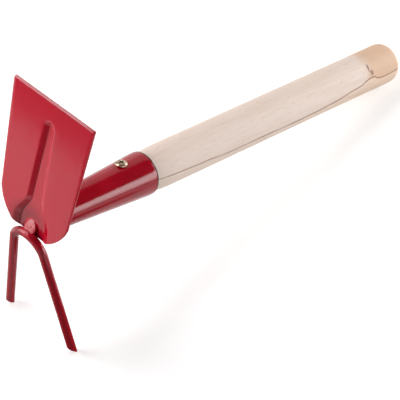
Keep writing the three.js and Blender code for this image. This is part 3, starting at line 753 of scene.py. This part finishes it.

# Painted shade darkens the recess, which is what lies below the head's top and near the screw's axis, seen
# with the screw upright
upright = add_node(tree, "Mapping", {
    "Vector": own, "Rotation": (0, SCREW_TURN, 0), "Location": (0, -SCREW_DISTANCE, -HEAD_TOP),
})
depth = add_node(tree, "SeparateXYZ", {"Vector": upright.outputs["Vector"]}).outputs["Z"]
sunk = add_node(tree, "MapRange", {"Value": depth, "From Min": -0.3, "From Max": -0.6})
flat = add_node(tree, "VectorMath", {0: upright.outputs["Vector"], 1: (1, 1, 0)}, operation="MULTIPLY")
off_axis = add_node(tree, "VectorMath", {0: flat.outputs["Vector"]}, operation="LENGTH")
inside = add_node(tree, "MapRange", {
    "Value": off_axis.outputs["Value"], "From Min": RECESS_REACH + 0.1, "From Max": RECESS_REACH,
})
recess_shade = add_node(tree, "Math", {0: sunk.outputs[0], 1: inside.outputs[0]}, operation="MULTIPLY")
colour = add_node(tree, "Mix", {
    "Factor": recess_shade.outputs[0], 6: colour.outputs[2], 7: linear(RECESS_SHADE),
}, data_type="RGBA")
dull = add_node(tree, "MapRange", {"Value": patches.outputs["Fac"], "To Min": 0.2, "To Max": 0.42})
scuffs = add_node(tree, "TexNoise", {"Vector": own, "Scale": 1 / 0.35, "Detail": 2.0})
bump = add_node(tree, "Bump", {"Height": scuffs.outputs["Fac"], "Strength": 0.2, "Distance": 0.05 * MM})
tree.links.new(colour.outputs[2], shader.inputs["Base Color"])
tree.links.new(dull.outputs[0], shader.inputs["Roughness"])
tree.links.new(bump.outputs["Normal"], shader.inputs["Normal"])
shader.inputs["Metallic"].default_value = 1
form = bmesh.new()
form.from_mesh(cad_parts["handle_screw"].data)
bmesh.ops.remove_doubles(form, verts=form.verts, dist=0.01 * MM)
finish(form, "wood_screw", zinc, "handle_screw", stand=False)

# Studio: a plain pale floor of backdrop paper that curves up into a low wall all round, under soft white
# lamps. From here on, sizes are in metres in the CAD model's own frame.
FLOOR_RADIUS = 2.2
COVE_RISE = 0.9
FLOOR_SIDES = 64
COVE_STEPS = 8
form = bmesh.new()
bmesh.ops.create_circle(form, cap_ends=True, cap_tris=False, segments=FLOOR_SIDES, radius=FLOOR_RADIUS)
ring = form.edges[:]
for step in range(1, COVE_STEPS + 1):
    verts, ring = extrude_ring(form, ring)
    turn = math.pi / 2 * step / COVE_STEPS
    wanted = FLOOR_RADIUS + COVE_RISE * math.sin(turn)
    for vert in verts:
        grow = wanted / vert.co.xy.length
        vert.co = (vert.co.x * grow, vert.co.y * grow, COVE_RISE * (1 - math.cos(turn)))
for face in form.faces:
    face.smooth = True
floor_mesh = bpy.data.meshes.new("studio_floor")
form.to_mesh(floor_mesh)
form.free()
floor = new_object("studio_floor", floor_mesh)

# White backdrop paper: matt, with a faint mottle of 4 mm. It is lifted to a plain white where it is seen,
# also in a reflection
PAPER_WHITE = "#f2f2f2"
PAPER_SHADED = "#eeeeee"
PAPER_LIFT = 0.42
paper, tree, shader, own = start_material("white_backdrop_paper")
clouds = add_node(tree, "TexNoise", {"Vector": own, "Scale": 1 / 4, "Detail": 2.0})
colour = add_node(tree, "Mix", {
    "Factor": clouds.outputs["Fac"], 6: linear(PAPER_WHITE), 7: linear(PAPER_SHADED),
}, data_type="RGBA")
tree.links.new(colour.outputs[2], shader.inputs["Base Color"])
shader.inputs["Roughness"].default_value = 0.9
shader.inputs["Specular IOR Level"].default_value = 0.1
rays = add_node(tree, "LightPath").outputs
seen = add_node(tree, "Math", {0: rays["Is Camera Ray"], 1: rays["Is Glossy Ray"]}, operation="ADD")
seen = add_node(tree, "Math", {0: seen.outputs[0], 1: rays["Is Transmission Ray"]}, operation="ADD")
lift = add_node(tree, "Math", {0: seen.outputs[0], 1: PAPER_LIFT}, operation="MULTIPLY")
glow = add_node(tree, "Emission", {"Color": (1, 1, 1, 1), "Strength": lift.outputs[0]})
both = add_node(tree, "AddShader", {0: shader.outputs[0], 1: glow.outputs[0]})
tree.links.new(both.outputs[0], tree.nodes["Material Output"].inputs["Surface"])
floor_mesh.materials.append(paper)

# Cards of grey felt lie on the floor in front of the blade and under the tines. They show in reflections
# only, and keep the blade's upper end and right side, the channel's left wall and the tines deep red
DARK_FELT = ("#6a6a6a", "#585858")
GREY_FELT = ("#bcbcbc", "#b0b0b0")
CURVED_CARD_AT = Vector((-0.2, -0.05, 0.002))
CURVED_CARD_INSIDE = (0.46, 0.47)  # its two radii
CURVED_CARD_OUTSIDE = 1.4
CURVED_CARD_START = 0.45  # how far in front of its centre it starts, as a share of its radii
CURVED_CARD_SIDES = 72
FLAT_CARD_HEIGHT = 0.001
# Corners of the two flat cards, in millimetres
RIGHT_CARD = ((5, -290), (155, -290), (155, -75), (145, -18), (112, -24), (85, -98), (60, -112), (5, -118))
LEFT_CARD = ((-120, -290), (3, -290), (3, -118), (-120, -118))


def lay_card(name, form, felt_colours):
    """Lays a felt card on the floor from a drawn form, seen in reflections only"""
    bmesh.ops.recalc_face_normals(form, faces=form.faces)
    mesh = bpy.data.meshes.new(name)
    form.to_mesh(mesh)
    form.free()
    felt, tree, shader, own = start_material(name + "_felt")
    nap = add_node(tree, "TexNoise", {"Vector": own, "Scale": 1 / 3, "Detail": 2.0})
    colour = add_node(tree, "Mix", {
        "Factor": nap.outputs["Fac"], 6: linear(felt_colours[0]), 7: linear(felt_colours[1]),
    }, data_type="RGBA")
    tree.links.new(colour.outputs[2], shader.inputs["Base Color"])
    shader.inputs["Roughness"].default_value = 0.95
    mesh.materials.append(felt)
    card = new_object(name, mesh)
    card.visible_camera = card.visible_diffuse = card.visible_shadow = False


form = bmesh.new()
bmesh.ops.create_circle(form, cap_ends=False, segments=CURVED_CARD_SIDES, radius=1)
bmesh.ops.bisect_plane(form, geom=form.verts[:] + form.edges[:], plane_co=(0, -CURVED_CARD_START, 0),
                       plane_no=(0, 1, 0), clear_outer=True)
inner_side = form.verts[:]
outer_side, ring = extrude_ring(form, form.edges[:])
bmesh.ops.scale(form, vec=(*CURVED_CARD_INSIDE, 1), verts=inner_side)
bmesh.ops.scale(form, vec=(CURVED_CARD_OUTSIDE, CURVED_CARD_OUTSIDE, 1), verts=outer_side)
bmesh.ops.translate(form, vec=CURVED_CARD_AT, verts=form.verts)
lay_card("curved_dark_card", form, DARK_FELT)
for name, outline, felt_colours in (("right_dark_card", RIGHT_CARD, DARK_FELT),
                                    ("left_grey_card", LEFT_CARD, GREY_FELT)):
    form = bmesh.new()
    form.faces.new([form.verts.new((x * MM, y * MM, FLAT_CARD_HEIGHT)) for x, y in outline])
    lay_card(name, form, felt_colours)

# Lamps: soft boxes of white light, and a little light from the air all round
AIR_STRENGTH = 0.05
LAMPS_FACE = Vector((0, 0, 0.1))
world = bpy.data.worlds.new("studio_air")
bpy.context.scene.world = world
world.use_nodes = True
air = world.node_tree.nodes["Background"]
air.inputs["Color"].default_value = (1, 1, 1, 1)
air.inputs["Strength"].default_value = AIR_STRENGTH


def softbox(name, azimuth, elevation, distance, width, height, radiance, lights=True):
    """A rectangular soft lamp that faces the hoe. Azimuth 0 is in front of the blade, 90 at its right.
    One that doesn't light shows in reflections only"""
    a, e = math.radians(azimuth), math.radians(elevation)
    towards = Vector((math.sin(a) * math.cos(e), -math.cos(a) * math.cos(e), math.sin(e)))
    lamp = bpy.data.lights.new(name, "AREA")
    lamp.shape = "RECTANGLE"
    lamp.size, lamp.size_y = width, height
    lamp.energy = radiance * math.pi * width * height
    made = bpy.data.objects.new(name, lamp)
    made.location = LAMPS_FACE + towards * distance
    made.rotation_mode = "QUATERNION"
    made.rotation_quaternion = towards.to_track_quat("Z", "Y")
    made.visible_camera = False
    made.visible_diffuse = lights
    bpy.context.scene.collection.objects.link(made)


softbox("low_front_softbox", -45, 20, 1.5, 1.1, 0.75, 7.2)
softbox("high_front_softbox", -72, 57, 1.5, 0.8, 0.42, 6.5)
softbox("back_strip_softbox", 130, 6, 1.6, 0.96, 0.58, 6.0)
softbox("back_right_softbox", 165, 14, 2.2, 0.88, 0.88, 12.8)
softbox("back_left_softbox", -148, 24, 1.5, 1.2, 1.0, 0.75)
# Two that show in reflections only: the first joins the two front lamps, and the second carries the back
# strip's reflection further down the socket
softbox("middle_front_softbox", -56, 41, 1.5, 0.9, 0.42, 6.5, lights=False)
softbox("low_right_reflector", 124, -8.5, 0.5, 0.6, 0.05, 4.5, lights=False)

# Camera: a long lens from the right, above the front of the hoe
LOOKS_AT = Vector((69.41, -88.645, 114.888)) * MM
BACK = Vector((0.483262, -0.487218, 0.727376))  # from there to the camera
CAMERA_DISTANCE = 1557.29 * MM
LENS = 217.93
camera_data = bpy.data.cameras.new("camera")
camera_data.sensor_width = 36
camera_data.lens = LENS
camera_data.clip_start, camera_data.clip_end = 0.05, 20
camera = bpy.data.objects.new("camera", camera_data)
camera.location = LOOKS_AT + BACK * CAMERA_DISTANCE
camera.rotation_mode = "QUATERNION"
camera.rotation_quaternion = BACK.to_track_quat("Z", "Y")
bpy.context.scene.collection.objects.link(camera)
bpy.context.scene.camera = camera
bpy.context.scene.view_settings.view_transform = "Standard"
